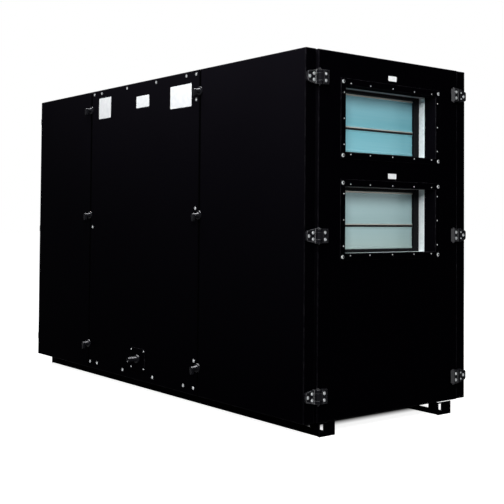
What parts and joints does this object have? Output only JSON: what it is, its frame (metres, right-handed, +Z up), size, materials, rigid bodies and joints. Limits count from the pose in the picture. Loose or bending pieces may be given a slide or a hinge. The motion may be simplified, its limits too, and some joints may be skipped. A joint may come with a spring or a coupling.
{
  "type": "air handling unit",
  "caption": "Box-shaped insulated air handling unit on base rails, with a hinged end door carrying duct openings with dampers, a lift-off side panel with clamps and a condensate drain.",
  "frame": {"origin": "on the ground, under the middle of the whole unit's box", "axes": "+X along the casing towards the hinged end door, -Y towards the long side with the clamps and the drain, +Z up"},
  "size_m": [2.192, 0.968, 1.396],
  "materials": {
    "coat": "satin black powder coat",
    "fitting": "moulded black",
    "zinc": "galvanised sheet",
    "damper_frame": "black",
    "leaf_upper": "smooth blue-green",
    "leaf_lower": "smooth pale grey-green"
  },
  "bodies": {
    "casing": {"base_rail_front": "coat", "base_rail_back": "coat", "floor_panel": "coat", "roof_panel": "coat", "side_panel_left": "coat", "side_panel_middle": "coat", "side_panel_right": "coat", "back_panel_left": "coat", "back_panel_middle": "coat", "back_panel_right": "coat", "side_mullions": "zinc", "back_mullions": "zinc", "door_stops": "coat", "end_panel": "coat", "far_flange_upper": "coat", "far_flange_lower": "coat", "far_sleeve_upper": "zinc", "far_sleeve_lower": "zinc", "far_frame_upper": "damper_frame", "far_frame_lower": "damper_frame", "far_leaves_upper": "leaf_upper", "far_leaves_lower": "leaf_lower", "hinge_leaves": "fitting", "keeper_leaves": "fitting", "far_keeper_leaves": "fitting", "far_keeper_blocks": "fitting", "clamps_left": "fitting", "clamps_right": "fitting", "back_clamps_left": "fitting", "back_clamps_right": "fitting", "drain_plate": "coat", "drain_pipe": "fitting"},
    "door": {"end_door": "coat", "flange_upper": "coat", "flange_lower": "coat", "sleeve_upper": "zinc", "sleeve_lower": "zinc", "damper_frame_upper": "damper_frame", "damper_frame_lower": "damper_frame", "leaves_upper": "leaf_upper", "leaves_lower": "leaf_lower", "hinge_blocks": "fitting", "keeper_blocks": "fitting"}
  },
  "joints": [
    {"name": "end_door_swing", "type": "hinge", "parent": "casing", "child": "door", "pos_m": [1.087, -0.376, 0], "axis": [0, 0, -1], "range_deg": [0, 110]}
  ]
}
